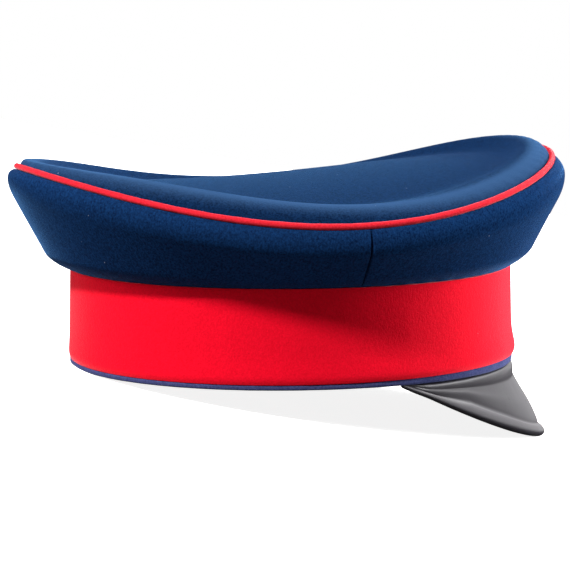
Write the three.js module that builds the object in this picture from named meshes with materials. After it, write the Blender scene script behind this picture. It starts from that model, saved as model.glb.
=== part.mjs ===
// Visor cap: a soft wool crown with a piped saddle-shaped rim, a wool band and a moulded leather peak.
//
// Millimetres, +Z up. The wearer looks along -Y and has +X on the left.
// Every piece is drawn in the cap's own frame, where the lower edge of the band is the plane z = 0.
// An angle round the cap is 0 at the front and 90 degrees at the wearer's left. The finished cap is
// tipped back until it stands by itself on the rim of the peak and on the back of the band.

import * as THREE from 'three';

// ---- Driving dimensions -------------------------------------------------------------------------

const DEGREE = Math.PI / 180;
const STATIONS = 72;              // steps round the whole cap
const SEWN_GAP = 0.3;             // clearance between pieces that touch

// Band: outside half sizes of its oval at the lower edge
const BAND_HALF_WIDTH = 90.2;
const BAND_HALF_LENGTH = 104;
const BAND_TAPER = 1.5;           // how much the band draws in from its lower edge to its top
const BAND_LEAN = 0.5;            // how far its top is set back
const BAND_WALL = 2.5;
const BAND_BULGE_HEIGHT = 5;      // middle of the swelling above the rounded lower edge
const BAND_EDGE_ROUND = 0.9;      // how far the lower edge turns in

// Crown: the oval of the piped seam between the side and the top
const SEAM_HALF_WIDTH = 106;
const SEAM_HALF_LENGTH = 123.4;
const SEAM_CENTRE_BACK = 2.6;     // the crown sits a little towards the back
const CROWN_WALL = 2;
const CORD_RADIUS = 1.5;          // red cord sewn into the seam
const CORD_SIDES = 8;
const CORD_REACH = CORD_RADIUS + SEWN_GAP + 0.05;   // cord's middle to the cloth beside it

// Stretched top cloth, inside the padded roll that follows the rim
const TOP_HALF_WIDTH = 92;
const TOP_HALF_LENGTH = 110.4;
const TOP_MIDDLE_HEIGHT = 82;
const TOP_FORWARD_RISE = 7.4;
const TOP_LENGTH_CURVE = 6.2;     // rise towards front and back
const TOP_WIDTH_CURVE = 12;       // fall towards both sides
const TOP_FRONT_SAG = 6;          // how much less it rises at the front, where it hangs into a hollow
const TOP_RINGS = 12;

// Lower welt, folded round the band's edge
const WELT_INSET = 0.2;
const WELT_THICKNESS = 2.3;

// Peak
const PEAK_HALF_ANGLE = 79 * DEGREE;
const PEAK_STATIONS = 31;
const PEAK_LENGTH = 44.4;         // along its surface at the front
const PEAK_START_DROP = 2.6;      // where that length starts, below the band
const PEAK_START_INSET = 1.4;
const PEAK_SLOPE = 66.5 * DEGREE; // below the horizontal, at the front
const PEAK_SLOPE_GAIN = 20 * DEGREE;
const PEAK_FORWARD = 0.12;        // share of its spread that points straight ahead
const PEAK_WALL = 1.8;
const PEAK_TONGUE = 9;            // sewn-in strip that stands inside the band
const PEAK_NECK = 5.8;            // upright step under the band, at the front
const NECK_INSET = 1.4;           // middle of its wall, in from the band's face
const NECK_FLARE = 0.8;
const PEAK_CROWNING = 1.15;       // outward swell of the surface
const RIM_THICKNESS = 3.2;
const RIM_DIP = 0.7;              // shallow hollow above the rim
const RIM_FLARE = 1.8;            // how far the rim turns out
const RIM_LENGTH = 7.5;
const CORNER_LENGTH = 0.8;

// Rest: how deep the soft edges are pressed flat where they carry the cap
const REST_PRESS = 0.45;

// Sizes that change round the cap, at the front, at 45 degrees, at the sides, at 135 degrees and at the
// back. Between the columns they follow the cosine series that passes through all five.
const COLUMNS = ['front', 'frontQuarter', 'side', 'backQuarter', 'back'];
const ROUND = {
  bandHeight: { front: 41, frontQuarter: 40.4, side: 40, backQuarter: 40.2, back: 40.5 },
  bandBulge: { front: 1.2, frontQuarter: 0.9, side: 0.6, backQuarter: 0.3, back: 0.2 },
  seamHeight: { front: 93, frontQuarter: 81.9, side: 67.2, backQuarter: 76.7, back: 87.2 },
  // Turn-up of the side, out from the band and above it
  kneeOut: { front: 9.5, frontQuarter: 7.2, side: 4.5, backQuarter: 7.2, back: 9.6 },
  kneeRise: { front: 4.9, frontQuarter: 4, side: 2.5, backQuarter: 2.9, back: 3.4 },
  // Belly, the widest place: out from the seam, with its two ends below the seam
  bellyOut: { front: 6.6, frontQuarter: 4.9, side: 3.3, backQuarter: 3.8, back: 4.3 },
  bellyLow: { front: 13.5, frontQuarter: 11.5, side: 10.4, backQuarter: 9.6, back: 9.1 },
  bellyHigh: { front: 4.4, frontQuarter: 3.6, side: 3.2, backQuarter: 2.2, back: 1.7 },
  // Where its cloth meets the seam's cord: degrees below the cord's outermost line
  cordSeat: { front: 30, frontQuarter: 50, side: 68, backQuarter: 76, back: 80 },
  // Roll of the top: seam to crest, crest above seam, and crest to the stretched cloth
  rollWidth: { front: 8.5, frontQuarter: 13, side: 11, backQuarter: 10.5, back: 3.8 },
  rollRise: { front: 4.8, frontQuarter: 4.3, side: 7.6, backQuarter: 7.1, back: 2.8 },
  rollFade: { front: 9, frontQuarter: 8, side: 9, backQuarter: 14, back: 22 },
  weltHeight: { front: 4.2, frontQuarter: 3.6, side: 2.6, backQuarter: 2.4, back: 2.4 },
};

// ---- Shared geometry ----------------------------------------------------------------------------

/** Value of one of the ROUND rows at an angle. */
function roundCap(row, angle) {
  const last = COLUMNS.length - 1;
  const half = (k) => (k === 0 || k === last ? 0.5 : 1);
  let value = 0;
  for (let k = 0; k <= last; k++) {
    const term = COLUMNS.reduce((sum, name, j) => (
      sum + half(j) * row[name] * Math.cos((k * j * Math.PI) / last)), 0);
    value += half(k) * (2 / last) * term * Math.cos(k * angle);
  }
  return value;
}

/** Point of an oval about the Z axis, at a height. */
function ovalPoint(halfWidth, halfLength, centreBack, angle, height) {
  return new THREE.Vector3(
    halfWidth * Math.sin(angle),
    centreBack - halfLength * Math.cos(angle),
    height,
  );
}

/** Angles of evenly spaced stations, half a step off the front so that one face looks straight ahead. */
function stationAngles() {
  return Array.from({ length: STATIONS }, (_, i) => ((i + 0.5) * 2 * Math.PI) / STATIONS);
}

/** Angles from one end to the other, both included. */
function spanAngles(start, end, steps) {
  return Array.from({ length: steps + 1 }, (_, i) => start + ((end - start) * i) / steps);
}

/** Points of the smooth curve that a polygon of control points pulls along (quadratic B-spline). */
function rubberCurve(controls, stepsPerArc) {
  const points = [controls[0].clone()];
  const last = controls.length - 2;
  for (let k = 1; k <= last; k++) {
    const start = k === 1 ? controls[0] : controls[k - 1].clone().lerp(controls[k], 0.5);
    const end = k === last ? controls[last + 1] : controls[k].clone().lerp(controls[k + 1], 0.5);
    const arc = new THREE.QuadraticBezierCurve3(start, controls[k], end);
    points.push(...arc.getPoints(stepsPerArc).slice(1));
  }
  return points;
}

/** Unit normals of a grid of points, rows round the cap by columns up the piece. */
function gridNormals(grid, isLoop) {
  const rows = grid.length;
  return grid.map((row, i) => row.map((_, j) => {
    const before = isLoop ? grid[(i + rows - 1) % rows] : grid[Math.max(i - 1, 0)];
    const after = isLoop ? grid[(i + 1) % rows] : grid[Math.min(i + 1, rows - 1)];
    const round = after[j].clone().sub(before[j]);
    const up = row[Math.min(j + 1, row.length - 1)].clone().sub(row[Math.max(j - 1, 0)]);
    return round.cross(up).normalize();
  }));
}

/** The same grid moved back along its normals by a wall thickness. */
function innerGrid(grid, wall, isLoop) {
  const normals = gridNormals(grid, isLoop);
  return grid.map((row, i) => row.map((point, j) => point.clone().addScaledVector(normals[i][j], -wall)));
}

/** Closed solid through a row of closed sections, joined end to end or capped at both ends. */
function sectionSolid(sections, isLoop) {
  const count = sections[0].length;
  const positions = sections.flatMap((section) => section.flatMap((p) => [p.x, p.y, p.z]));
  const index = [];
  const steps = isLoop ? sections.length : sections.length - 1;
  for (let i = 0; i < steps; i++) {
    const a = i * count;
    const b = ((i + 1) % sections.length) * count;
    for (let j = 0; j < count; j++) {
      const k = (j + 1) % count;
      index.push(a + j, b + j, b + k, a + j, b + k, a + k);
    }
  }
  if (!isLoop) {
    const last = (sections.length - 1) * count;
    for (let j = 0; j < count / 2 - 1; j++) {
      const k = count - 1 - j;
      index.push(j, j + 1, k - 1, j, k - 1, k);
      index.push(last + j, last + k - 1, last + j + 1, last + j, last + k, last + k - 1);
    }
  }
  const geometry = new THREE.BufferGeometry();
  geometry.setAttribute('position', new THREE.Float32BufferAttribute(positions, 3));
  geometry.setIndex(index);
  geometry.computeVertexNormals();
  return geometry;
}

/** Wall between an outer grid and the grid behind it, each section going up outside and down inside. */
function wallSolid(outer, inner, isLoop) {
  return sectionSolid(outer.map((row, i) => [...row, ...inner[i].slice().reverse()]), isLoop);
}

function cloth(color) {
  return new THREE.MeshStandardMaterial({ color, roughness: 0.95, metalness: 0 });
}

function piece(name, geometry, material) {
  const mesh = new THREE.Mesh(geometry, material);
  mesh.name = name;
  return mesh;
}

// ---- How the cap stands -------------------------------------------------------------------------

/** Direction in which the peak spreads at an angle, level and outwards. */
function peakDirection(angle) {
  const across = new THREE.Vector3(
    Math.sin(angle) / BAND_HALF_WIDTH,
    -Math.cos(angle) / BAND_HALF_LENGTH,
    0,
  ).normalize();
  return across.lerp(new THREE.Vector3(0, -1, 0), PEAK_FORWARD).normalize();
}

/** Length of the peak's surface at an angle, from the front's full length to almost none. */
function peakLength(angle) {
  const share = Math.cos((angle / PEAK_HALF_ANGLE) * 90 * DEGREE);
  return CORNER_LENGTH + (PEAK_LENGTH - CORNER_LENGTH) * Math.max(share, 0);
}

function peakSlope(angle) {
  return PEAK_SLOPE + PEAK_SLOPE_GAIN * (angle / PEAK_HALF_ANGLE) ** 2;
}

/** End of the peak's surface at an angle. */
function peakTip(angle) {
  const slope = peakSlope(angle);
  const length = peakLength(angle);
  const halfWidth = BAND_HALF_WIDTH - PEAK_START_INSET;
  const halfLength = BAND_HALF_LENGTH - PEAK_START_INSET;
  const tip = ovalPoint(halfWidth, halfLength, 0, angle, -PEAK_START_DROP);
  tip.addScaledVector(peakDirection(angle), length * Math.cos(slope));
  tip.z -= length * Math.sin(slope);
  return tip;
}

const rimFront = peakTip(0);
const weltBack = ovalPoint(
  0,
  BAND_HALF_LENGTH - WELT_INSET - 0.5,
  0,
  Math.PI,
  -roundCap(ROUND.weltHeight, Math.PI),
);
const REST_TILT = Math.atan2(weltBack.z - rimFront.z, weltBack.y - rimFront.y);
const FLOOR_NORMAL = new THREE.Vector3(0, -Math.sin(REST_TILT), Math.cos(REST_TILT));

/** Presses a grid flat against the floor that touches the back of the welt. */
function settle(grid, press) {
  const floor = weltBack.dot(FLOOR_NORMAL) + press;
  for (const point of grid.flat()) {
    const above = point.dot(FLOOR_NORMAL) - floor;
    if (above < 0) {
      point.addScaledVector(FLOOR_NORMAL, -above);
    }
  }
  return grid;
}

// ---- Band and welt ------------------------------------------------------------------------------

/** How far the band's outer face stands out from a straight taper, at a height above its lower edge. */
function bandSwell(angle, height) {
  const bulge = roundCap(ROUND.bandBulge, angle) * Math.exp(-(((height - BAND_BULGE_HEIGHT) / 6) ** 2));
  const turnIn = BAND_EDGE_ROUND * Math.max(0, 1 - height / 3) ** 2;
  return bulge - turnIn;
}

function bandPoint(angle, height, inset) {
  const share = height / roundCap(ROUND.bandHeight, angle);
  const taper = BAND_TAPER * share;
  const out = inset > 0 ? -inset : bandSwell(angle, height);
  const halfWidth = BAND_HALF_WIDTH + out - 0.1 * taper;
  return ovalPoint(halfWidth, BAND_HALF_LENGTH + out - taper, BAND_LEAN * share, angle, height);
}

function bandGrid(inset) {
  return stationAngles().map((angle) => {
    const top = roundCap(ROUND.bandHeight, angle);
    return [0, 1.5, BAND_BULGE_HEIGHT, 0.45 * top, top].map((height) => bandPoint(angle, height, inset));
  });
}

function weltGrid() {
  const outer = -WELT_INSET;
  const inner = outer - WELT_THICKNESS;
  const corner = 0.5;
  return stationAngles().map((angle) => {
    const top = -SEWN_GAP;
    const bottom = -roundCap(ROUND.weltHeight, angle);
    const outline = [
      [outer - corner, bottom], [outer, bottom + corner], [outer, top - corner], [outer - corner, top],
      [inner + corner, top], [inner, top - corner], [inner, bottom + corner], [inner + corner, bottom],
    ];
    return outline.map(([out, height]) => (
      ovalPoint(BAND_HALF_WIDTH + out, BAND_HALF_LENGTH + out, 0, angle, height)));
  });
}

// ---- Crown --------------------------------------------------------------------------------------

function seamPoint(angle) {
  const height = roundCap(ROUND.seamHeight, angle);
  return ovalPoint(SEAM_HALF_WIDTH, SEAM_HALF_LENGTH, SEAM_CENTRE_BACK, angle, height);
}

/** Outer line of the crown's side at an angle, from the band up over the belly to the seam. */
function sideLine(angle) {
  const foot = bandPoint(angle, roundCap(ROUND.bandHeight, angle), SEWN_GAP);
  foot.z += SEWN_GAP;
  const seam = seamPoint(angle);
  const outward = new THREE.Vector3(seam.x - foot.x, seam.y - foot.y, 0).normalize();
  const bellyOut = roundCap(ROUND.bellyOut, angle);
  const knee = foot.clone().addScaledVector(outward, roundCap(ROUND.kneeOut, angle));
  knee.z += roundCap(ROUND.kneeRise, angle);
  const low = seam.clone().addScaledVector(outward, bellyOut);
  low.z -= roundCap(ROUND.bellyLow, angle);
  const high = low.clone().setZ(seam.z - roundCap(ROUND.bellyHigh, angle));
  const seat = roundCap(ROUND.cordSeat, angle) * DEGREE;
  const end = seam.clone().addScaledVector(outward, CORD_REACH * Math.cos(seat));
  end.z -= CORD_REACH * Math.sin(seat);
  const controls = [foot, knee, knee.clone().lerp(low, 0.25), knee.clone().lerp(low, 0.7), low, high, end];
  return rubberCurve(controls, 2);
}

function sidePanel(startAngle, endAngle) {
  const outer = spanAngles(startAngle, endAngle, STATIONS / 2).map(sideLine);
  return wallSolid(outer, innerGrid(outer, CROWN_WALL, false), false);
}

/** Height of the stretched cloth alone, carried on under the roll. */
function stretchedHeight(point) {
  const across = point.x / TOP_HALF_WIDTH;
  const back = (point.y - SEAM_CENTRE_BACK) / TOP_HALF_LENGTH;
  const curve = TOP_LENGTH_CURVE - TOP_FRONT_SAG * Math.min(Math.max(-back, 0), 1);
  return TOP_MIDDLE_HEIGHT - TOP_FORWARD_RISE * back
    + curve * back * back - TOP_WIDTH_CURVE * across * across;
}

/** Outer line of the top at an angle, from beside the seam's cord over the roll to the middle. */
function topLine(angle) {
  const seam = seamPoint(angle);
  const middle = new THREE.Vector3(0, SEAM_CENTRE_BACK, 0);
  const reach = Math.hypot(seam.x, seam.y - SEAM_CENTRE_BACK);
  const width = roundCap(ROUND.rollWidth, angle);
  const fade = roundCap(ROUND.rollFade, angle);
  const crest = seam.clone().lerp(middle, width / reach);
  const roll = seam.z + roundCap(ROUND.rollRise, angle) - stretchedHeight(crest);
  const edge = seam.clone().lerp(middle, CORD_REACH / reach);
  const drop = stretchedHeight(edge) + roll - seam.z;
  return Array.from({ length: TOP_RINGS + 1 }, (_, k) => {
    const inward = CORD_REACH + (reach - CORD_REACH) * (k / TOP_RINGS) ** 2;
    const point = seam.clone().lerp(middle, inward / reach);
    const beyond = Math.max(0, inward - width) / fade;
    const short = Math.max(0, 1 - (inward - CORD_REACH) / (width - CORD_REACH));
    const shoulder = 1 - (1 - short ** 2.2) ** 0.7;   // a full round roll, steep beside the seam
    point.z = stretchedHeight(point) + roll * Math.exp(-beyond * beyond) - drop * shoulder;
    return point;
  });
}

/** The top cloth: its outer face from the rim to the middle, and its inner face back to the rim. */
function topPanel() {
  const outer = stationAngles().map(topLine);
  const ringed = outer.map((line) => line.slice(0, -1));
  const inner = innerGrid(ringed, CROWN_WALL, true);
  const middle = outer[0][TOP_RINGS];
  const below = middle.clone().setZ(middle.z - CROWN_WALL);
  const sections = ringed.map((line, i) => [...line, middle, below, ...inner[i].slice().reverse()]);
  return sectionSolid(sections, true);
}

/** Cord of round section laid along the seam. */
function cordGrid() {
  return stationAngles().map((angle) => {
    const centre = seamPoint(angle);
    const outward = new THREE.Vector3(centre.x, centre.y - SEAM_CENTRE_BACK, 0).normalize();
    return Array.from({ length: CORD_SIDES }, (_, k) => {
      const turn = (k + 0.5) * ((2 * Math.PI) / CORD_SIDES);
      const point = centre.clone().addScaledVector(outward, CORD_RADIUS * Math.cos(turn));
      point.z += CORD_RADIUS * Math.sin(turn);
      return point;
    });
  });
}

// ---- Peak ---------------------------------------------------------------------------------------

/** Closed section of the peak at an angle: tongue, neck, sloping surface and thick rolled rim. */
function peakSection(angle) {
  const share = peakLength(angle) / PEAK_LENGTH;
  const welt = roundCap(ROUND.weltHeight, angle);
  const tongueInset = BAND_WALL + SEWN_GAP + 0.5 * PEAK_WALL + 0.1;
  const direction = peakDirection(angle);
  const slope = peakSlope(angle);
  const outward = direction.clone().multiplyScalar(Math.sin(slope)).setZ(Math.cos(slope));
  const neckDrop = SEWN_GAP + PEAK_WALL * (0.55 + 0.25 * Math.min(1, 4 * share));
  const neckTop = bandPoint(angle, -welt - neckDrop, NECK_INSET);
  const neck = PEAK_NECK * Math.min(1, 1.25 * share);
  const neckFoot = bandPoint(angle, neckTop.z - neck, NECK_INSET - NECK_FLARE * share);
  const tip = peakTip(angle);
  const surface = (part, lift) => neckFoot.clone().lerp(tip, part).addScaledVector(outward, lift * share);
  const rimPart = 1 - (RIM_LENGTH / PEAK_LENGTH) * (1.6 - 0.6 * share);
  const centreLine = [
    bandPoint(angle, PEAK_TONGUE - welt, tongueInset),
    bandPoint(angle, 0.4 * PEAK_TONGUE - welt, tongueInset),
    bandPoint(angle, -0.5 - welt, tongueInset),
    neckTop,
    neckFoot,
    surface(0.12, 0.7 * PEAK_CROWNING),
    surface(0.4, PEAK_CROWNING),
    surface(0.6, 0.3 * PEAK_CROWNING),
    surface(rimPart, -RIM_DIP),
    surface(0.5 * (rimPart + 1), -0.15 * RIM_DIP),
    surface(1, RIM_FLARE),
  ];
  const rim = PEAK_WALL + (RIM_THICKNESS - PEAK_WALL) * Math.min(1, 1.5 * share);
  const thickness = centreLine.map((_, k) => {
    const fromEnd = centreLine.length - 1 - k;
    return fromEnd < 2 ? rim * (fromEnd === 0 ? 0.7 : 1) : PEAK_WALL;
  });
  const upright = new THREE.Vector3(0, 0, 1);
  const outer = [];
  const inner = [];
  centreLine.forEach((point, k) => {
    const before = centreLine[Math.max(k - 1, 0)];
    const after = centreLine[Math.min(k + 1, centreLine.length - 1)];
    const run = after.clone().sub(before).normalize();
    const side = upright.clone().cross(direction).cross(run).normalize();
    outer.push(point.clone().addScaledVector(side, -0.5 * thickness[k]));
    inner.push(point.clone().addScaledVector(side, 0.5 * thickness[k]));
  });
  return [...outer.reverse(), ...inner];
}

// ---- The cap ------------------------------------------------------------------------------------

const CROWN_CLOTH = 0x1b3a6b;
const BAND_CLOTH = 0xe0122b;
const WELT_CLOTH = 0x2c3a70;
const PEAK_LEATHER = 0x1b1c20;
const SEAM_ANGLE = 90 * DEGREE;
const seamSlit = (0.5 * SEWN_GAP) / SEAM_HALF_WIDTH;

const bandOuter = bandGrid(0);
const bandInner = bandGrid(BAND_WALL);
const peakAngles = spanAngles(-PEAK_HALF_ANGLE, PEAK_HALF_ANGLE, PEAK_STATIONS);
const leather = new THREE.MeshStandardMaterial({ color: PEAK_LEATHER, roughness: 0.3, metalness: 0 });

const cap = new THREE.Group();
cap.add(piece('top_panel', topPanel(), cloth(CROWN_CLOTH)));
cap.add(piece(
  'front_side_panel',
  sidePanel(-SEAM_ANGLE + seamSlit, SEAM_ANGLE - seamSlit),
  cloth(CROWN_CLOTH),
));
cap.add(piece(
  'rear_side_panel',
  sidePanel(SEAM_ANGLE + seamSlit, 3 * SEAM_ANGLE - seamSlit),
  cloth(CROWN_CLOTH),
));
cap.add(piece('crown_piping', sectionSolid(cordGrid(), true), cloth(BAND_CLOTH)));
cap.add(piece('band', wallSolid(bandOuter, bandInner, true), cloth(BAND_CLOTH)));
cap.add(piece('lower_piping', sectionSolid(settle(weltGrid(), REST_PRESS), true), cloth(WELT_CLOTH)));
cap.add(piece('visor', sectionSolid(settle(peakAngles.map(peakSection), REST_PRESS), false), leather));

const visorCap = new THREE.Group();
visorCap.add(cap);
cap.rotation.x = -REST_TILT;
visorCap.updateMatrixWorld(true);
const standing = new THREE.Box3().setFromObject(visorCap, true);
cap.position.set(0, -0.5 * (standing.min.y + standing.max.y), -standing.min.z);
visorCap.updateMatrixWorld(true);

export default visorCap;
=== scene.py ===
import math

import bmesh
import bpy
import numpy as np
from mathutils import Matrix, Vector


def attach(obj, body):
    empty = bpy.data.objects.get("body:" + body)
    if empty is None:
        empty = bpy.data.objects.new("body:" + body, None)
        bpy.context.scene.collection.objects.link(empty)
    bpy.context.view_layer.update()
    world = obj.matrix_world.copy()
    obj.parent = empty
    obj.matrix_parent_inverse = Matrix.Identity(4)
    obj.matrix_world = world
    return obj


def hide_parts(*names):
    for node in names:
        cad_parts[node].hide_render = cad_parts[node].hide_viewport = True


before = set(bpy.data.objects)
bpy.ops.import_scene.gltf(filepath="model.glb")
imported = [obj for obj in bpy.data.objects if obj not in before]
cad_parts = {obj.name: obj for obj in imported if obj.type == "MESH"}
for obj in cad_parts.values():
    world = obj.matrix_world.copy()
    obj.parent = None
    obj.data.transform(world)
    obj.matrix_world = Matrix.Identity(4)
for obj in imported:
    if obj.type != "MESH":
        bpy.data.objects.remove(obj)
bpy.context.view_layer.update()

# ==== The cap's stance, and the camera ===========================================================
# The cap is drawn in its own frame, in millimetres: the lower edge of its band is the level plane
# z = 0, the wearer looks along -Y, and an angle round it is 0 at the front. It stands tipped back on
# the rim of its peak and the back of its band, and the camera is turned with it.

CAP_TILT = 0.180988                              # radians, about the X axis
CAP_MIDDLE = np.array([0.0, -7.4778, 20.5050])   # middle of the band's lower edge, once it stands
MILLIMETRE = 0.001


def tipped(vectors):
    """Directions turned with the cap: y and z rotate together by the tilt, front upwards."""
    x, y, z = np.moveaxis(np.asarray(vectors, float), -1, 0)
    cos, sin = math.cos(CAP_TILT), math.sin(CAP_TILT)
    return np.stack([x, cos * y + sin * z, cos * z - sin * y], axis=-1)


def standing(points):
    """Points of the cap's own frame, in millimetres, where the cap stands, in metres."""
    return (tipped(points) + CAP_MIDDLE) * MILLIMETRE


VIEW_TURN = math.radians(18.36)     # from straight at the wearer's right side, towards the back
VIEW_RISE = math.radians(7.32)      # above the plane of the band
VIEW_DISTANCE = 797.6
AIM_FORWARD = -3.74                 # along the picture's width, towards the peak
AIM_HEIGHT = 30.13                  # above the plane of the band's lower edge
SENSOR = 36.0
LENS = 108.57

sight = np.array([
    -math.cos(VIEW_TURN) * math.cos(VIEW_RISE),
    math.sin(VIEW_TURN) * math.cos(VIEW_RISE),
    math.sin(VIEW_RISE),
])
across = np.array([-math.sin(VIEW_TURN), -math.cos(VIEW_TURN), 0.0])
aim = across * AIM_FORWARD + np.array([0.0, 0.0, AIM_HEIGHT])
camera_axes = tipped(np.stack([across, np.cross(sight, across), sight]))
camera_place = standing(aim + sight * VIEW_DISTANCE)

camera_data = bpy.data.cameras.new("camera")
camera_data.lens = LENS
camera_data.sensor_width = SENSOR
camera = bpy.data.objects.new("camera", camera_data)
bpy.context.scene.collection.objects.link(camera)
camera.matrix_world = Matrix.Translation(Vector(camera_place)) @ Matrix(camera_axes.T.tolist()).to_4x4()
bpy.context.scene.camera = camera

# ==== Band =======================================================================================
# A strip of bright red felted wool over a stiff board, sewn into an upright oval. Its lower edge is
# turned in over the board, which leaves a soft swelling just above it, fuller at the front.

BAND_HALF_WIDTH = 90.2
BAND_HALF_LENGTH = 104.0
BAND_TAPER = 1.5          # how much the band draws in from its lower edge to its top
BAND_LEAN = 0.5           # how far its top is set back
BAND_WALL = 2.5
BAND_BULGE_HEIGHT = 2.5   # middle of the swelling, above the lower edge
BAND_BULGE_SPREAD = 6
BAND_EDGE_ROUND = 0.6     # how far the lower edge turns in
BAND_EDGE_HEIGHT = 3      # where it starts to
BAND_SIDE_TAPER = 0.1     # share of the taper that its sides have
BAND_COUNTS = {"round": 400, "up": 44, "inside": 12}
# Sizes that change round the cap are given at 0, 45, 90, 135 and 180 degrees from the front.
BAND_HEIGHT = [41, 40.4, 40, 40.2, 40.5]
BAND_BULGE = [1.2, 0.9, 0.6, 0.3, 0.2]
# Soft waves in the face: depth, how many there are round the cap, and where they start.
BAND_UNEVEN = [(0.16, 5, 0.7), (0.10, 11, 2.1)]
BAND_RED = (0.93, 0.0036, 0.023, 1.0)
BAND_RED_DEEP = (0.77, 0.0020, 0.015, 1.0)
BAND_SHEEN = (1.0, 0.55, 0.62, 1.0)
WELD = 1e-7               # metres: points closer than this are one point
SHARP_ANGLE = 50          # degrees between faces, above which their edge shows


def round_cap(values, angle):
    """Size at an angle: the cosine series that passes through the five values."""
    last = len(values) - 1
    order = np.arange(last + 1)
    half = np.where((order == 0) | (order == last), 0.5, 1.0)
    series = (2 / last) * half * (np.cos(np.outer(order, order) * math.pi / last) @ (half * values))
    return np.cos(np.multiply.outer(angle, order)) @ series


def waves(angle, rows):
    """Sum of sine waves round the cap, each with its depth, number and start."""
    return sum(depth * np.sin(number * angle + start) for depth, number, start in rows)


def ring_angles(count):
    """Evenly spaced angles once round the cap."""
    return np.arange(count) * (2 * math.pi / count)


def oval(half_width, half_length, centre_back, angle, height):
    """Points of a level oval: x is half_width times sin, y is centre_back less half_length times cos."""
    parts = (half_width * np.sin(angle), centre_back - half_length * np.cos(angle), height + 0 * angle)
    return np.stack(np.broadcast_arrays(*parts), axis=-1)


def unit(vectors):
    """The same vectors at length 1."""
    return vectors / np.maximum(np.linalg.norm(vectors, axis=-1, keepdims=True), 1e-12)


def face_normals(grid, ring):
    """Normals of a grid, rows round the cap by columns up the piece: round direction cross up direction."""
    if ring:
        along = np.roll(grid, -1, axis=0) - np.roll(grid, 1, axis=0)
    else:
        along = np.gradient(grid, axis=0)
    return unit(np.cross(along, np.gradient(grid, axis=1)))


def lengths_along(grid):
    """Distance walked from the first column of each row of a grid."""
    steps = np.linalg.norm(np.diff(grid, axis=1), axis=-1)
    return np.concatenate([np.zeros((len(grid), 1)), np.cumsum(steps, axis=1)], axis=1)


def walled(outer, wall, ring, lip=0.0):
    """Closed sections of a wall: up its outer face and down the face behind it, a wall's thickness in.
    Within a lip's length of both ends, each face curves towards the other along a quarter circle."""
    normals = face_normals(outer, ring)
    walked = lengths_along(outer)
    from_end = np.minimum(walked, walked[:, -1:] - walked)
    short = np.clip(lip - from_end, 0, None)
    dip = (lip - np.sqrt(np.maximum(lip * lip - short * short, 0)))[..., None]
    inner = outer - normals * (wall - dip)
    return np.concatenate([outer - normals * dip, inner[:, ::-1]], axis=1)


def loft(name, sections, ring, spread=None):
    """Mesh object through closed sections. Its UV map holds millimetres: round the cap and up the
    section, or the sections' own x and y where spread says flat. Points that coincide are welded."""
    rows, columns = sections.shape[:2]
    spans = rows if ring else rows - 1
    row, column = np.meshgrid(np.arange(spans), np.arange(columns), indexing="ij")
    ahead = np.array([0, 1, 1, 0])
    up = np.array([0, 0, 1, 1])
    corner_row = row[..., None] + ahead
    corner_column = column[..., None] + up
    quads = (corner_row % rows) * columns + corner_column % columns
    faces = quads.reshape(-1, 4)
    closed = np.concatenate([sections, sections[:, :1]], axis=1)
    upward = lengths_along(closed).mean(axis=0)
    middle = sections.mean(axis=1)
    step = np.linalg.norm(np.roll(middle, -1, axis=0) - middle, axis=-1)
    round_way = np.concatenate([[0], np.cumsum(step)])
    if spread == "flat":
        wanted = sections[corner_row % rows, corner_column % columns, :2]
    else:
        wanted = np.stack([round_way[corner_row], upward[corner_column]], axis=-1)
    mesh = bpy.data.meshes.new(name)
    ends = []
    if not ring:
        half = np.arange(columns // 2 - 1)
        near = np.stack([half, half + 1, columns - 2 - half, columns - 1 - half], axis=-1)
        far = (rows - 1) * columns + near[:, ::-1]
        ends = np.concatenate([near, far]).tolist()
    mesh.from_pydata(standing(sections.reshape(-1, 3)), [], faces.tolist() + ends)
    layer = mesh.uv_layers.new(name="cloth")
    values = np.zeros((len(mesh.loops), 2))
    values[: faces.size] = wanted.reshape(-1, 2)
    layer.data.foreach_set("uv", values.ravel())
    welded = bmesh.new()
    welded.from_mesh(mesh)
    bmesh.ops.remove_doubles(welded, verts=welded.verts, dist=WELD)
    welded.to_mesh(mesh)
    welded.free()
    mesh.shade_smooth()
    mesh.set_sharp_from_angle(angle=math.radians(SHARP_ANGLE))
    piece = bpy.data.objects.new(name, mesh)
    bpy.context.scene.collection.objects.link(piece)
    return piece


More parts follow.
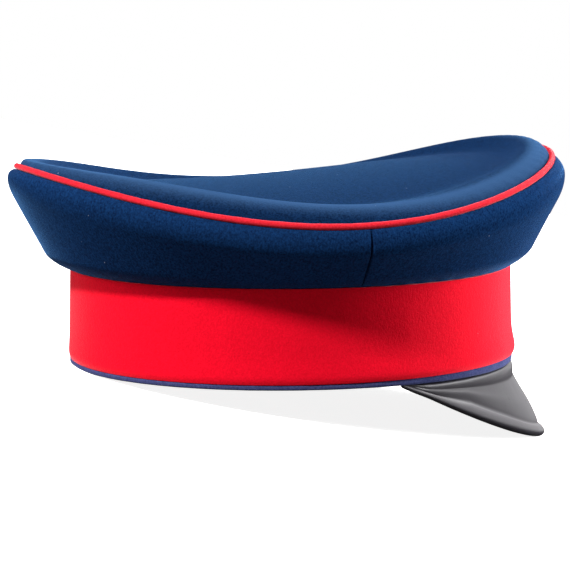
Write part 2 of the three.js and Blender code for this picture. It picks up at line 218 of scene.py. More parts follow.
class Shade:
    """A socket of a material's nodes. Arithmetic on it adds Math nodes."""

    def __init__(self, tree, socket=None):
        self.tree = tree
        self.socket = socket

    def add(self, kind, settings, sockets, output=0):
        """Adds a node, sets it up, then gives its sockets values or links."""
        node = self.tree.nodes.new(kind)
        for name, value in settings.items():
            setattr(node, name, value)
        for name, value in sockets.items():
            if isinstance(value, Shade):
                self.tree.links.new(value.socket, node.inputs[name])
            else:
                node.inputs[name].default_value = value
        return Shade(self.tree, node.outputs[output])

    def maths(self, operation, first, second):
        """Result of a Math node on two values."""
        return self.add("ShaderNodeMath", {"operation": operation}, {0: first, 1: second})

    def __add__(self, other):
        return self.maths("ADD", self, other)

    def __sub__(self, other):
        return self.maths("SUBTRACT", self, other)

    def __rsub__(self, other):
        return self.maths("SUBTRACT", other, self)

    def __mul__(self, other):
        return self.maths("MULTIPLY", self, other)

    def __lt__(self, other):
        return self.maths("LESS_THAN", self, other)

    def __gt__(self, other):
        return self.maths("GREATER_THAN", self, other)

    __radd__ = __add__
    __rmul__ = __mul__

    def scaled(self, low, high):
        """This value from low to high, as a share from 0 to 1."""
        settings = {"clamp": True, "interpolation_type": "SMOOTHSTEP"}
        return self.add("ShaderNodeMapRange", settings, {"Value": self, "From Min": low, "From Max": high})

    def noise(self, place, scale, detail=2.0, rough=0.5):
        """Cloudy noise about 0.5, with this many clouds a metre of the place's unit."""
        sockets = {"Vector": place, "Scale": scale, "Detail": detail, "Roughness": rough}
        return self.add("ShaderNodeTexNoise", {}, sockets)

    def blend(self, share, first, second):
        """Colour between two colours."""
        return self.add("ShaderNodeMix", {"data_type": "RGBA"}, {0: share, 6: first, 7: second}, 2)

    def stretched(self, place, factors):
        """A place multiplied along its three axes."""
        return self.add("ShaderNodeVectorMath", {"operation": "MULTIPLY"}, {0: place, 1: factors})


def new_material(name, constants):
    """A material, its node wrapper and its shader. Constants are set on the shader's own sockets."""
    made = bpy.data.materials.new(name)
    made.use_nodes = True
    shader = made.node_tree.nodes["Principled BSDF"]
    for socket, value in constants.items():
        shader.inputs[socket].default_value = value
    return made, Shade(made.node_tree), shader


def wire(shade, shader, links):
    """Links values to the shader's sockets by name."""
    for name, value in links.items():
        shade.tree.links.new(value.socket, shader.inputs[name])


WOOL_SCALES = {"felt": 1150, "clumps": 420, "patches": 16, "lint": 220.0}   # how many in a metre
NAP_GRAIN = (1.6, 0.45, 1)                # how many in a millimetre, round the cap and up the piece
LINT_PALE = (0.30, 0.34, 0.42, 1.0)
FELT_DEPTH = 0.00040                      # metres


def wool(name, colour, deep, sheen, sheen_weight, sheen_roughness, lint, nap, crest=None):
    """Felted wool: mottled felt, short nap combed up the piece, soft patches and lint. A crest is an oval
    line along which it is painted pale. This is a painted sheen that is partly real rubbing, and it reaches
    further out towards the front as painted light: its middle, its two half sizes, the width painted and its
    colour."""
    made, shade, shader = new_material(name, {
        "Sheen Weight": sheen_weight,
        "Sheen Roughness": sheen_roughness,
        "Sheen Tint": sheen,
        "Specular IOR Level": 0.03,
    })
    place = shade.add("ShaderNodeTexCoord", {}, {}, "Object")
    surface = shade.add("ShaderNodeTexCoord", {}, {}, "UV")
    felt = shade.noise(place, WOOL_SCALES["felt"], 3, 0.7)
    clumps = shade.noise(place, WOOL_SCALES["clumps"], 3, 0.6)
    patches = shade.noise(place, WOOL_SCALES["patches"], 3, 0.5)
    combed = shade.noise(shade.stretched(surface, NAP_GRAIN), 1.0, 3, 0.65)
    tone = felt * 0.85 + clumps * 0.15 + patches * 0.10 + combed * nap
    depth = tone.scaled(0.5 * (1.10 + nap) - 0.22, 0.5 * (1.10 + nap) + 0.22)
    cloth = shade.blend(depth, deep, colour)
    # Painted sheen: a pale line along the roll's crest stands for its sheen at a grazing view, and partly
    # for real rubbing of the nap.
    if crest:
        middle, across, along, width, pale = crest
        from_middle = shade.add("ShaderNodeVectorMath", {"operation": "SUBTRACT"}, {0: surface, 1: middle})
        spread = shade.stretched(from_middle, (1 / across, 1 / along, 0))
        reach = shade.add("ShaderNodeVectorMath", {"operation": "LENGTH"}, {0: spread}, "Value")
        away = shade.maths("ABSOLUTE", reach - 1, 0.0) * (across / width)
        forward = (0 - shade.add("ShaderNodeSeparateXYZ", {}, {0: spread}, "Y")).scaled(-0.7, 0.9)
        # Painted light: outside the crest the pale line spreads wider towards the front, where light falls
        # on the roll's outer flank.
        painted_light_outside = (reach > 1) * (0.24 + 0.42 * forward)
        rubbed = 1 - away * (1 - painted_light_outside) + 0.5 * (felt - 0.5)
        cloth = shade.blend(rubbed.scaled(0, 1) * 0.85, cloth, pale)
    cell_place = {"Vector": place, "Scale": WOOL_SCALES["lint"], "Randomness": 1.0}
    to_cell = shade.add("ShaderNodeTexVoronoi", {}, cell_place, "Distance")
    cell_colour = shade.add("ShaderNodeTexVoronoi", {}, cell_place, "Color")
    chance = shade.add("ShaderNodeSeparateColor", {}, {0: cell_colour}, "Red")
    size = shade.add("ShaderNodeSeparateColor", {}, {0: cell_colour}, "Green")
    speck = (to_cell < 0.02 + 0.09 * size * felt) * (chance > 1 - lint)
    flecked = shade.blend(speck * 0.55, cloth, LINT_PALE)
    relief = felt * 0.60 + combed * 0.35 + clumps * 0.35 + speck * 0.3
    bump = shade.add("ShaderNodeBump", {}, {"Strength": 0.65, "Distance": FELT_DEPTH, "Height": relief})
    wire(shade, shader, {
        "Base Color": flecked,
        "Roughness": 0.96 - 0.14 * clumps,
        "Normal": bump,
    })
    return made


def finished(piece, slot, material, *nodes):
    """Gives a piece its material, stands it for its solids and lets it ride on the cap."""
    piece.data.materials.append(material)
    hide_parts(*nodes)
    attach(piece, "root")
    return piece


def band_face(angle, height, inset=None):
    """Face of the band: an oval that narrows and leans back with height. Its outer face swells by a bell
    curve above the lower edge and turns in along a parabola below that. An inset face is plain."""
    share = height / round_cap(BAND_HEIGHT, angle)
    taper = BAND_TAPER * share
    bulge = round_cap(BAND_BULGE, angle) * np.exp(-(((height - BAND_BULGE_HEIGHT) / BAND_BULGE_SPREAD) ** 2))
    swell = bulge - BAND_EDGE_ROUND * np.maximum(0, 1 - height / BAND_EDGE_HEIGHT) ** 2
    out = swell if inset is None else -inset
    half_width = BAND_HALF_WIDTH + out - BAND_SIDE_TAPER * taper
    return oval(half_width, BAND_HALF_LENGTH + out - taper, BAND_LEAN * share, angle, height)


band_angle = ring_angles(BAND_COUNTS["round"])[:, None]
band_top = round_cap(BAND_HEIGHT, band_angle)
band_outside = band_face(band_angle, band_top * np.linspace(0, 1, BAND_COUNTS["up"]) ** 1.3)
band_inside = band_face(band_angle, band_top * np.linspace(1, 0, BAND_COUNTS["inside"]), BAND_WALL)
uneven = waves(band_angle, BAND_UNEVEN)
hollow = np.sin(np.linspace(0, math.pi, BAND_COUNTS["up"])) ** 2
band_outside -= face_normals(band_outside, True) * (np.abs(uneven) * hollow)[..., None]
band = loft("red_band", np.concatenate([band_outside, band_inside], axis=1), True)
band_wool = wool("band_wool", BAND_RED, BAND_RED_DEEP, BAND_SHEEN,
                 sheen_weight=0.40, sheen_roughness=0.36, lint=0.02, nap=0.25)
finished(band, "band_wool", band_wool, "band")

# ==== Lower welt =================================================================================
# A narrow strip of dark-blue wool, folded and sewn flat along the band's lower edge. It is deeper at
# the front, where it covers the seam of the peak, and pressed flat where the cap stands on it.

WELT_INSET = 0.2          # in from the band's face
WELT_THICKNESS = 2.3
WELT_GAP = 0.10           # below the band's edge
WELT_SET_IN = 0.1         # further in, which leaves room for the handwork
WELT_HEIGHT = [4.2, 3.6, 2.6, 2.4, 2.4]
WELT_CORNER = 0.75
WELT_COUNTS = {"round": 480, "corner": 6}
WELT_HANDWORK = [(0.10, 37, 1.0), (0.08, 61, 0)]
WELT_BLUE = (0.066, 0.074, 0.190, 1.0)
WELT_BLUE_DEEP = (0.028, 0.033, 0.105, 1.0)
WELT_SHEEN = (0.45, 0.55, 0.95, 1.0)


def on_floor(points):
    """Points of the cap's own frame, with those under the floor pressed up to it."""
    lift = np.array([0.0, -math.sin(CAP_TILT), math.cos(CAP_TILT)])
    height = tipped(points)[..., 2:] + CAP_MIDDLE[2]
    return points + lift * np.maximum(0, -height)


def rounded_box(corner, counts):
    """Outline of a square of side 2 with quarter-circle corners, anticlockwise from its right side."""
    turn = np.linspace(0, math.pi / 2, counts)
    arc = np.stack([np.cos(turn), np.sin(turn)], axis=-1) * corner + (1 - corner)
    outline = []
    for quarter in range(4):
        cos, sin = round(math.cos(quarter * math.pi / 2)), round(math.sin(quarter * math.pi / 2))
        outline.append(arc @ np.array([[cos, sin], [-sin, cos]]))
    return np.concatenate(outline)


welt_angle = ring_angles(WELT_COUNTS["round"])[:, None]
welt_height = round_cap(WELT_HEIGHT, welt_angle)
outline = rounded_box(WELT_CORNER, WELT_COUNTS["corner"])
handwork = waves(welt_angle, WELT_HANDWORK)
welt_out = -WELT_INSET - 0.5 * WELT_THICKNESS * (1 - outline[:, 0]) + handwork * 0.5 - WELT_SET_IN
welt_up = -WELT_GAP + 0.5 * (outline[:, 1] - 1) * (welt_height - WELT_GAP)
welt_grid = oval(BAND_HALF_WIDTH + welt_out, BAND_HALF_LENGTH + welt_out, 0.0, welt_angle, welt_up)
welt = loft("lower_welt", on_floor(welt_grid), True)
welt_wool = wool("welt_wool", WELT_BLUE, WELT_BLUE_DEEP, WELT_SHEEN,
                 sheen_weight=0.30, sheen_roughness=0.35, lint=0.010, nap=0.3)
finished(welt, "welt_wool", welt_wool, "lower_piping")

# ==== Peak =======================================================================================
# One piece of thick black leather, moulded wet and polished. A tongue is sewn up inside the band, a
# short upright neck shows under the welt, and the sloping leaf swells a little and ends in a thick
# rolled rim. It stands on that rim at the front.

PEAK_HALF_ANGLE = math.radians(79)
PEAK_LENGTH = 44.4        # along its surface at the front
PEAK_START_DROP = 2.6     # where that length starts, below the band
PEAK_START_INSET = 1.4    # and in from the band's face
PEAK_SLOPE = math.radians(66.5)       # below the horizontal, at the front
PEAK_SLOPE_GAIN = math.radians(20)    # how much steeper it is at its two ends
PEAK_FORWARD = 0.12       # share of its spread that points straight ahead
PEAK_WALL = 1.8
PEAK_TONGUE = 9.0         # sewn-in strip that stands inside the band
PEAK_NECK = 5.8           # upright step under the welt, at the front
NECK_INSET = 1.2          # middle of its wall, in from the band's face
NECK_FLARE = 0.1
NECK_BULGE = 0.05
NECK_CREASE = 0.10
PEAK_CROWNING = 1.4       # outward swell of the leaf
RIM_THICKNESS = 4.2
RIM_FLARE = 1.5           # how far the rim turns out
RIM_DIP = 0.35            # shallow hollow above the rim
RIM_FULL_SHARE = 0.40     # share of the reach above which the rim has its full size
# How far from the edge the leaf starts to flare, bends out and is fully out, in millimetres.
RIM_PLACES = (12.5, 8.4, 5.0)
RIM_EXTRA = 0.7
CORNER_LENGTH = 0.8       # reach left at the two ends of the peak
SEWN_GAP = 0.3
TUCK_SHARE = 0.16     # share of the reach below which the neck tucks in behind the band
TUCK_LIFT = 3.4
PEAK_COUNTS = {"round": 260, "along": 110, "rim": 12}
PEAK_BLACK = (0.020, 0.018, 0.023, 1.0)
PEAK_WORN = (0.060, 0.056, 0.056, 1.0)


def smooth_line(controls, count, ease=1.0):
    """Quadratic B-spline of each row's control points: each arc runs between the middles of two
    neighbouring sides, and the first and last arc reach the end points. Steps crowd at the ends."""
    arcs = controls.shape[1] - 2
    share = np.linspace(0, 1, count)
    share = (1 - ease) * share + ease * 0.5 * (1 - np.cos(math.pi * share))
    place = np.minimum(share * arcs, arcs - 1e-9)
    arc = place.astype(int)
    t = (place - arc)[:, None]
    start = np.where((arc == 0)[:, None], controls[:, arc], 0.5 * (controls[:, arc] + controls[:, arc + 1]))
    last = (arc == arcs - 1)[:, None]
    end = np.where(last, controls[:, arc + 2], 0.5 * (controls[:, arc + 1] + controls[:, arc + 2]))
    return (1 - t) ** 2 * start + 2 * t * (1 - t) * controls[:, arc + 1] + t * t * end


def level(grid):
    """The same vectors at length 1 once their z is left out."""
    return unit(grid * np.array([1.0, 1.0, 0.0]))


peak_angle = np.linspace(-PEAK_HALF_ANGLE, PEAK_HALF_ANGLE, PEAK_COUNTS["round"])
from_front = peak_angle / PEAK_HALF_ANGLE
peak_reach = CORNER_LENGTH + (PEAK_LENGTH - CORNER_LENGTH) * np.cos(from_front * math.pi / 2)
peak_share = (peak_reach / PEAK_LENGTH)[:, None]
peak_slope = (PEAK_SLOPE + PEAK_SLOPE_GAIN * from_front**2)[:, None]
straight_on = unit(np.stack([
    np.sin(peak_angle) / BAND_HALF_WIDTH,
    -np.cos(peak_angle) / BAND_HALF_LENGTH,
    0 * peak_angle,
], axis=-1))
peak_way = unit((1 - PEAK_FORWARD) * straight_on + PEAK_FORWARD * np.array([0.0, -1.0, 0.0]))
peak_lift = peak_way * np.sin(peak_slope) + np.array([0.0, 0.0, 1.0]) * np.cos(peak_slope)
peak_down = peak_way * np.cos(peak_slope) - np.array([0.0, 0.0, 1.0]) * np.sin(peak_slope)
start_width = BAND_HALF_WIDTH - PEAK_START_INSET
start_length = BAND_HALF_LENGTH - PEAK_START_INSET
peak_start = oval(start_width, start_length, 0.0, peak_angle, -PEAK_START_DROP)
peak_tip = peak_start + peak_down * peak_reach[:, None]

welt_here = round_cap(WELT_HEIGHT, peak_angle)
neck_drop = SEWN_GAP + PEAK_WALL * (0.55 + 0.25 * np.minimum(1, 4 * peak_share[:, 0]))
tongue_inset = BAND_WALL + SEWN_GAP + 0.5 * PEAK_WALL + 0.1
tucked = np.clip(1 - peak_share[:, 0] / TUCK_SHARE, 0, 1)
drop = neck_drop - TUCK_LIFT * tucked**2
inset = NECK_INSET + (tongue_inset - NECK_INSET) * tucked * (2 - tucked)
neck_top = band_face(peak_angle, -welt_here - drop, inset)
neck_low = -welt_here - drop - PEAK_NECK * np.minimum(1, 1.25 * peak_share[:, 0])
neck_foot = band_face(peak_angle, neck_low, inset - NECK_FLARE * peak_share[:, 0])


def leaf(part, lift):
    """Points of the sloping leaf: a share of the way from the neck to the rim, lifted off that line."""
    return neck_foot + (peak_tip - neck_foot) * part + peak_lift * lift * peak_share


neck_share = np.clip(2.5 * peak_share - 0.3, 0, 1)
crease = NECK_CREASE * neck_share * np.minimum(1, np.abs(from_front) / 0.6)[:, None]
rim_scale = 1 / np.maximum(peak_share, RIM_FULL_SHARE)
rim_near = np.minimum(1, 1.5 - 0.8 * peak_share) * rim_scale / PEAK_LENGTH
rim_start, rim_bend, rim_out = (1 - place * rim_near for place in RIM_PLACES)
# From the top of the tongue, down behind the band, over the neck and along the leaf to the rim.
peak_controls = np.stack([
    band_face(peak_angle, PEAK_TONGUE - welt_here, tongue_inset),
    band_face(peak_angle, 0.4 * PEAK_TONGUE - welt_here, tongue_inset),
    band_face(peak_angle, -0.5 - welt_here, tongue_inset),
    neck_top,
    neck_top + 0.5 * (neck_foot - neck_top) + peak_way * NECK_BULGE * neck_share,
    neck_foot + 0.2 * (neck_top - neck_foot) - peak_way * crease,
    neck_foot - peak_way * crease,
    leaf(0.12 * rim_start, 0.0),
    leaf(0.36 * rim_start, 0.25 * PEAK_CROWNING),
    leaf(0.65 * rim_start, 0.75 * PEAK_CROWNING),
    leaf(rim_start, 0.45 * PEAK_CROWNING),
    leaf(rim_bend, -RIM_DIP * rim_scale),
    leaf(rim_out, RIM_FLARE * rim_scale),
    leaf(1 + RIM_EXTRA / PEAK_LENGTH * rim_scale, 0.8 * RIM_FLARE * rim_scale),
], axis=1)
peak_line = smooth_line(peak_controls, PEAK_COUNTS["along"], 0.3)
walked = lengths_along(peak_line)
to_rim = walked[:, -1:] - walked
rim_radius = 0.5 * (PEAK_WALL + (RIM_THICKNESS - PEAK_WALL) * np.minimum(1, 1.5 * peak_share))
run = unit(np.gradient(peak_line, axis=1))
side = unit(np.cross(np.cross(np.array([0.0, 0.0, 1.0]), peak_way)[:, None], run))
peak_line = peak_line - run * (rim_radius * np.clip(1 - to_rim / 4, 0, 1))[..., None]
bead = np.sqrt(np.maximum(rim_radius**2 - to_rim**2, 0))
peak_half = ((0.5 * PEAK_WALL) ** 8 + bead**8) ** 0.125
peak_line = peak_line + side * (peak_half - 0.5 * PEAK_WALL)[..., None]
turn = np.linspace(0, math.pi, PEAK_COUNTS["rim"])[None, 1:-1, None]
rim_arc = run[:, -1:] * np.sin(turn) - side[:, -1:] * np.cos(turn)
rim_arc = peak_line[:, -1:] + peak_half[:, -1:, None] * rim_arc
peak_outside = peak_line - side * peak_half[..., None]
peak_inside = peak_line + side * peak_half[..., None]
peak_grid = np.concatenate([peak_inside, rim_arc[:, ::-1], peak_outside[:, ::-1]], axis=1)
peak = loft("leather_peak", on_floor(peak_grid), False)

peak_leather, shade, shader = new_material("peak_leather", {
    "Specular IOR Level": 0.5,
    "Coat Roughness": 0.30,
    "Coat IOR": 1.5,
})
place = shade.add("ShaderNodeTexCoord", {}, {}, "Object")
pores = shade.add("ShaderNodeTexVoronoi", {"feature": "F1"}, {"Vector": place, "Scale": 1700.0}, "Distance")
grain = shade.noise(place, 700, 4, 0.6)
wavy = shade.noise(place, 38, 2, 0.5)
rubbed = shade.noise(place, 90, 4, 0.65)
scuffs = shade.noise(shade.stretched(place, (1, 1, 5)), 160, 4, 0.7)
wear = rubbed.scaled(0.58, 0.74) * scuffs.scaled(0.45, 0.62)
relief = pores * 0.25 + grain * 0.5 + wavy * 4.0
bump = shade.add("ShaderNodeBump", {}, {"Strength": 0.30, "Distance": 0.00018, "Height": relief})
wire(shade, shader, {
    "Base Color": shade.blend(wear * 0.5, PEAK_BLACK, PEAK_WORN),
    "Roughness": 0.40 + 0.10 * rubbed + 0.15 * wear,
    "Coat Weight": 0.45 - 0.30 * wear,
    "Normal": bump,
})
finished(peak, "peak_leather", peak_leather, "visor")

# ==== Crown side =================================================================================
# The side of the crown is dark-blue felted wool cut in a front and a rear half. It turns up from the
# band, spreads outwards to a soft belly and meets the top at the piped seam. The two halves are
# joined by pressed seams at the wearer's left and right.

SEAM_HALF_WIDTH = 106.0
SEAM_HALF_LENGTH = 123.4
SEAM_CENTRE_BACK = 2.6
SEAM_HEIGHT = [93, 81.9, 67.2, 76.7, 87.2]
CROWN_FOOT_GAP = 0.05     # above the band
CORD_RADIUS = 1.35
CORD_REACH = CORD_RADIUS - 0.10 # cord's middle to the cloth's edge, before the lip moves that edge
CROWN_WALL = 2.0
# Knee, where the side turns up: out from the band and above it.
KNEE_OUT = [9.5, 7.2, 4.5, 7.2, 9.6]
KNEE_RISE = [4.9, 4, 2.5, 2.9, 3.4]
# Belly, the widest place: out from the seam, with its two ends below the seam.
BELLY_OUT = [6.6, 4.9, 3.3, 3.8, 4.3]
BELLY_LOW = [13.5, 11.5, 10.4, 9.6, 9.1]
BELLY_HIGH = [4.4, 3.6, 3.2, 2.2, 1.7]
# Where the cloth meets the cord: degrees below the cord's outermost line.
CORD_SEAT = [30, 44, 56, 58, 56]
SIDE_COUNTS = {"round": 300, "up": 84}
PRESSED_SEAM = 2.4        # depth of the groove
SEAM_GROOVE = 0.5         # its half width at the top; it narrows to 0.6 of that at the foot
CROWN_LIP = 0.8           # radius at the edges of the cloth
SEAM_CROWDING = 0.9                       # how much closer together the rows are at the side seams
RIDGE_HEIGHT, RIDGE_PLACE, RIDGE_WIDTH = 0.08, 4, 2.5     # beside each side seam
GATHER_DEPTH, GATHER_HEIGHT = 0.06, 6     # along the band
SIDE_GIVE = 0.30                          # how far the cloth gives, half-way up
CROWN_BLUE = (0.0056, 0.0345, 0.120, 1.0)
CROWN_BLUE_DEEP = (0.0018, 0.0092, 0.037, 1.0)
CROWN_SHEEN = (0.16, 0.45, 1.0, 1.0)


def seam_line(angle):
    """The piped seam: a level oval whose height follows the rim."""
    return oval(SEAM_HALF_WIDTH, SEAM_HALF_LENGTH, SEAM_CENTRE_BACK, angle, round_cap(SEAM_HEIGHT, angle))


def sizes_at(values, angle):
    """Sizes at the angles, as a column with one for each row of a grid."""
    return round_cap(values, angle)[:, None]


def side_face(angle, count):
    """Outer face of the side: a B-spline from the band over the knee and the belly to the seam."""
    upward = np.array([0.0, 0.0, 1.0])
    foot = band_face(angle, round_cap(BAND_HEIGHT, angle), SEWN_GAP) + CROWN_FOOT_GAP * upward
    seam = seam_line(angle)
    outward = level(seam - foot)
    knee = foot + outward * sizes_at(KNEE_OUT, angle) + upward * sizes_at(KNEE_RISE, angle)
    low = seam + outward * sizes_at(BELLY_OUT, angle) - upward * sizes_at(BELLY_LOW, angle)
    high = seam + outward * sizes_at(BELLY_OUT, angle) - upward * sizes_at(BELLY_HIGH, angle)
    seat = np.radians(sizes_at(CORD_SEAT, angle))
    end = seam + CORD_REACH * (outward * np.cos(seat) - upward * np.sin(seat))
    controls = [foot, knee, knee + 0.25 * (low - knee), knee + 0.7 * (low - knee), low, high, end]
    return smooth_line(np.stack(controls, axis=1), count, 0.8)


def side_panel(name, start, end):
    """Half of the crown's side between two seam angles, with its seams pressed in and faint puckers
    where it is gathered onto the band."""
    share = np.linspace(0, 1, SIDE_COUNTS["round"])
    angle = start + (end - start) * (share - SEAM_CROWDING / (2 * math.pi) * np.sin(2 * math.pi * share))
    outer = side_face(angle, SIDE_COUNTS["up"])
    walked = lengths_along(outer)
    from_seam = np.minimum(angle - start, end - angle) * SEAM_HALF_WIDTH
    way_up = walked / walked[:, -1:]
    held = np.minimum(1, 10 * (1 - way_up)) * np.minimum(1, 8 * way_up)
    groove = SEAM_GROOVE * (0.6 + 0.4 * way_up)
    pressed = PRESSED_SEAM * held * np.exp(-((from_seam[:, None] / groove) ** 4))
    beside = RIDGE_HEIGHT * held * np.exp(-(((from_seam - RIDGE_PLACE) / RIDGE_WIDTH) ** 2))[:, None]
    gathers = GATHER_DEPTH * np.sin(58 * angle + 1.4 * np.sin(9 * angle))[:, None]
    gathers = gathers * np.exp(-((walked / GATHER_HEIGHT) ** 2))
    soft = SIDE_GIVE * np.sin(7 * angle + 0.9)[:, None] * np.sin(way_up * math.pi) ** 2
    outer = outer + face_normals(outer, False) * (beside + gathers + soft - pressed)[..., None]
    return loft(name, walled(outer, CROWN_WALL, False, CROWN_LIP), False)


SIDE_SEAM = math.pi / 2
crown_wool = wool("crown_wool", CROWN_BLUE, CROWN_BLUE_DEEP, CROWN_SHEEN,
                  sheen_weight=0.30, sheen_roughness=0.24, lint=0.12, nap=0.45)
front_side = side_panel("front_side", -SIDE_SEAM, SIDE_SEAM)
finished(front_side, "crown_wool", crown_wool, "front_side_panel")
rear_side = side_panel("rear_side", SIDE_SEAM, 3 * SIDE_SEAM)
finished(rear_side, "crown_wool", crown_wool, "rear_side_panel")

# ==== Crown piping ===============================================================================
# A cord covered in red wool and sewn into the seam between the side and the top, so that
# it stands out as a tight round line all the way round the rim.

PIPING_COUNTS = {"round": 900, "section": 20}
CORD_PLUMP = [(0.03, 43, 0), (0.025, 97, 1)]
CORD_RED = (0.82, 0.026, 0.046, 1.0)
CORD_RED_DEEP = (0.62, 0.012, 0.022, 1.0)

piping_angle = ring_angles(PIPING_COUNTS["round"])[:, None]
piping_turn = ring_angles(PIPING_COUNTS["section"])
piping_out = level(seam_line(piping_angle[:, 0]) - np.array([0.0, SEAM_CENTRE_BACK, 0.0]))[:, None]
plump = waves(piping_angle, CORD_PLUMP)
piping_radius = (CORD_RADIUS + plump)[..., None]
piping_up = np.array([0.0, 0.0, 1.0])
piping_round = piping_out * np.cos(piping_turn)[:, None] + piping_up * np.sin(piping_turn)[:, None]
piping_grid = seam_line(piping_angle[:, 0])[:, None] + piping_radius * piping_round
piping = loft("crown_cord", piping_grid, True)
piping_wool = wool("piping_wool", CORD_RED, CORD_RED_DEEP, BAND_SHEEN,
                   sheen_weight=0.40, sheen_roughness=0.35, lint=0.0, nap=0.2)
finished(piping, "piping_wool", piping_wool, "crown_piping")

# ==== Crown top ==================================================================================
# One piece of the same dark-blue wool, stretched over a padded ring and sewn down into the piped seam
# all round. The padding makes a soft roll along the rim, and inside it the cloth hangs tight in a
# shallow saddle that rises to the front.

TOP_HALF_WIDTH = 92.0
TOP_HALF_LENGTH = 110.4
TOP_MIDDLE_HEIGHT = 82.0
TOP_FORWARD_RISE = 7.4    # from the middle to the front
TOP_LENGTH_CURVE = 6.2    # rise towards front and back
TOP_WIDTH_CURVE = 12.0    # fall towards both sides
TOP_FRONT_SAG = 6.0       # how much less it rises at the front, where it hangs into a hollow
# Roll: from the seam to its crest, the crest above the seam, and from the crest to the tight cloth.
ROLL_WIDTH = [8.5, 13, 11, 10.5, 3.8]
ROLL_RISE = [4.8, 4.3, 7.6, 7.1, 2.8]
ROLL_FADE = [9, 8, 9, 14, 22]
TOP_BLUE = (0.0037, 0.0218, 0.0760, 1.0)
TOP_BLUE_DEEP = (0.0012, 0.0074, 0.0262, 1.0)
# Painted sheen along the roll's crest, partly real rubbing, and painted light on its outer flank towards the
# front.
TOP_PAINTED_SHEEN = (0.0290, 0.0760, 0.178, 1.0)
CREST_WIDTH = 5.5         # reach of the pale line painted along the roll's crest, to either side: painted sheen, partly real rubbing
TOP_SHEEN = (0.14, 0.50, 1.0, 1.0)
TOP_COUNTS = {"round": 440, "inward": 100}
# Small puckers by the seam and a slow give on the roll: height, distance inwards and width.
PUCKER_HEIGHT, PUCKER_PLACE, PUCKER_WIDTH = 0.10, 3, 5
GIVE_HEIGHT, GIVE_PLACE, GIVE_WIDTH = 0.22, 12, 9


def stretched_height(x, y):
    """Height of the stretched cloth: a saddle, curved up along the cap and down across it."""
    back = (y - SEAM_CENTRE_BACK) / TOP_HALF_LENGTH
    curve = TOP_LENGTH_CURVE - TOP_FRONT_SAG * np.clip(-back, 0, 1)
    saddle = curve * back**2 - TOP_WIDTH_CURVE * (x / TOP_HALF_WIDTH) ** 2
    return TOP_MIDDLE_HEIGHT - TOP_FORWARD_RISE * back + saddle


def top_face(angle, count):
    """Outer face of the top, from the seam to the middle: the saddle, plus a roll that climbs along a
    parabola from the seam to its crest and fades by a bell curve further in."""
    seam = seam_line(angle)
    middle = np.array([0.0, SEAM_CENTRE_BACK, 0.0])
    reach = np.hypot(seam[:, 0], seam[:, 1] - SEAM_CENTRE_BACK)[:, None]
    width, fade = (sizes_at(values, angle) for values in (ROLL_WIDTH, ROLL_FADE))
    crest = seam + (middle - seam) * (width / reach)
    edge = seam + (middle - seam) * (CORD_REACH / reach)
    roll = seam[:, 2:] + round_cap(ROLL_RISE, angle)[:, None] - stretched_height(crest[:, :1], crest[:, 1:2])
    drop = stretched_height(edge[:, :1], edge[:, 1:2]) + roll - seam[:, 2:]
    inward = CORD_REACH + (reach - CORD_REACH) * np.linspace(0, 1, count) ** 1.7
    point = seam[:, None] + (middle - seam)[:, None] * (inward / reach)[..., None]
    beyond = np.maximum(0, inward - width) / fade
    short = np.maximum(0, 1 - (inward - CORD_REACH) / (width - CORD_REACH))
    full = 1 - (1 - short**2.2) ** 0.7
    height = stretched_height(point[..., 0], point[..., 1]) + roll * np.exp(-beyond**2) - drop * full
    return np.stack([point[..., 0], point[..., 1], height], axis=-1), inward


top_angle = ring_angles(TOP_COUNTS["round"])
top_outer, inward = top_face(top_angle, TOP_COUNTS["inward"])
wave = top_angle[:, None]
puckers = PUCKER_HEIGHT * np.sin(83 * wave + 1.1 * np.sin(13 * wave))
puckers = puckers * np.exp(-(((inward - PUCKER_PLACE) / PUCKER_WIDTH) ** 2))
give = GIVE_HEIGHT * np.sin(5 * wave + 0.4) * np.exp(-(((inward - GIVE_PLACE) / GIVE_WIDTH) ** 2))
top_outer[..., 2] += puckers + give
top_ring = top_outer[:, :-1]
top_normals = face_normals(top_ring, True)
lip = np.clip(CROWN_LIP - lengths_along(top_ring), 0, None)
dip = (CROWN_LIP - np.sqrt(CROWN_LIP**2 - lip**2))[..., None]
top_inner = top_ring - top_normals * (CROWN_WALL - dip)
top_middle = np.repeat(top_outer[:, -1:].mean(axis=0, keepdims=True), len(top_angle), axis=0)
below = top_middle - np.array([0.0, 0.0, CROWN_WALL])
top_sections = np.concatenate([top_ring - top_normals * dip, top_middle, below, top_inner[:, ::-1]], axis=1)
top = loft("crown_top", top_sections, True, "flat")
# The roll's crest, along which the top is painted pale: painted sheen, partly real rubbing.
crest_half_width = SEAM_HALF_WIDTH - ROLL_WIDTH[2]
crest_half_length = SEAM_HALF_LENGTH - 0.5 * (ROLL_WIDTH[0] + ROLL_WIDTH[4])
top_painted_sheen = ((0, SEAM_CENTRE_BACK, 0), crest_half_width, crest_half_length, CREST_WIDTH, TOP_PAINTED_SHEEN)
top_wool = wool("crown_top_wool", TOP_BLUE, TOP_BLUE_DEEP, TOP_SHEEN,
                sheen_weight=0.10, sheen_roughness=0.24, lint=0.12, nap=0.45, crest=top_painted_sheen)
finished(top, "crown_wool", top_wool, "top_panel")

# ==== Floor and light ============================================================================
# The cap stands on a wide plain pale floor in a pale room. Four soft studio lamps light it: a key high
# at the camera's left, a weak one low at the left, and two broad ones behind the cap at the right.
# Floor and room look paler to the camera than the light that they give and the way they are mirrored.

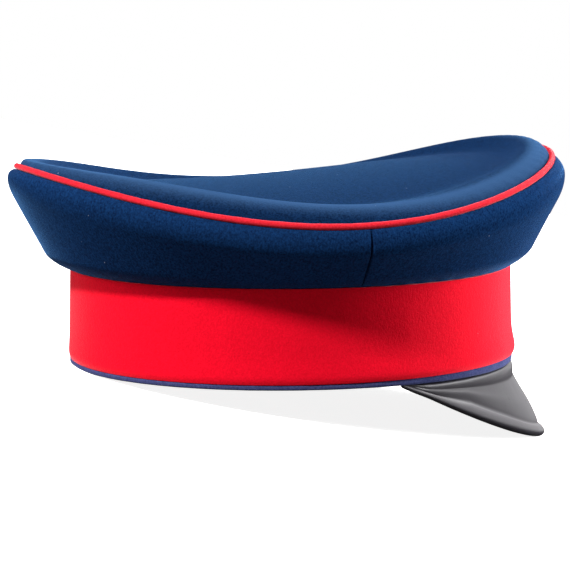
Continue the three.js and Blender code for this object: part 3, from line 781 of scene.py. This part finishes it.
FLOOR_HALF = 40.0
FLOOR_PALE = (0.92, 0.92, 0.92, 1.0)
FLOOR_BOUNCE = (0.18, 0.18, 0.18, 1.0)
FLOOR_MIRRORED = (0.02, 0.02, 0.02, 1.0)
ROOM_PALE = (1.0, 1.0, 1.0, 1.0)
ROOM_GLOW = 0.03
ROOM_MIRRORED_LOW = 0.9
ROOM_MIRRORED_HIGH = 6.0
LAMPS = [
    # name, direction from the cap (x, y, z), spread in degrees, strength, mirrored in the leather
    ("key_lamp", (-0.345, 0.658, 0.669), 8, 4.4, True),
    ("left_lamp", (0.312, 0.940, 0.139), 30, 2.2, False),
    ("right_lamp", (0.027, -0.927, 0.375), 30, 7.0, False),
    ("back_lamp", (0.444, -0.885, 0.139), 40, 4.0, False),
]

floor_mesh = bpy.data.meshes.new("floor")
floor_corners = [(-FLOOR_HALF, -FLOOR_HALF, 0), (FLOOR_HALF, -FLOOR_HALF, 0),
                 (FLOOR_HALF, FLOOR_HALF, 0), (-FLOOR_HALF, FLOOR_HALF, 0)]
floor_mesh.from_pydata(floor_corners, [], [(0, 1, 2, 3)])
floor = bpy.data.objects.new("floor", floor_mesh)
bpy.context.scene.collection.objects.link(floor)
floor_paint, shade, shader = new_material("floor_paint", {
    "Roughness": 0.9,
    "Specular IOR Level": 0.0,
    "Emission Strength": 0.95,
})
# To the camera the floor also glows evenly, which pales the shadows cast on it.
seen = shade.add("ShaderNodeLightPath", {}, {}, "Is Camera Ray")
mirrored = shade.add("ShaderNodeLightPath", {}, {}, "Is Glossy Ray")
unseen = shade.blend(mirrored, FLOOR_BOUNCE, FLOOR_MIRRORED)
wire(shade, shader, {
    "Base Color": shade.blend(seen, unseen, FLOOR_PALE),
    "Emission Color": shade.blend(seen, (0.0, 0.0, 0.0, 1.0), FLOOR_PALE),
})
floor.data.materials.append(floor_paint)

for name, direction, spread, strength, glossy in LAMPS:
    lamp = bpy.data.lights.new(name, "SUN")
    lamp.angle = math.radians(spread)
    lamp.energy = strength
    holder = bpy.data.objects.new(name, lamp)
    bpy.context.scene.collection.objects.link(holder)
    holder.rotation_mode = "QUATERNION"
    holder.rotation_quaternion = Vector(direction).to_track_quat("Z", "Y")
    holder.visible_glossy = glossy

room = bpy.data.worlds.new("room")
room.use_nodes = True
shade = Shade(room.node_tree)
background = room.node_tree.nodes["Background"]
background.inputs["Color"].default_value = ROOM_PALE
seen = shade.add("ShaderNodeLightPath", {}, {}, "Is Camera Ray")
mirrored = shade.add("ShaderNodeLightPath", {}, {}, "Is Glossy Ray")
direction = shade.add("ShaderNodeTexCoord", {}, {}, "Generated")
height = shade.add("ShaderNodeSeparateXYZ", {}, {0: direction}, "Z")
gloss = ROOM_MIRRORED_LOW + (ROOM_MIRRORED_HIGH - ROOM_MIRRORED_LOW) * height.scaled(0.42, 0.80)
glow = ROOM_GLOW + (1 - ROOM_GLOW) * seen + (gloss - ROOM_GLOW) * mirrored
room.node_tree.links.new(glow.socket, background.inputs["Strength"])
bpy.context.scene.world = room
bpy.context.scene.view_settings.view_transform = "Standard"
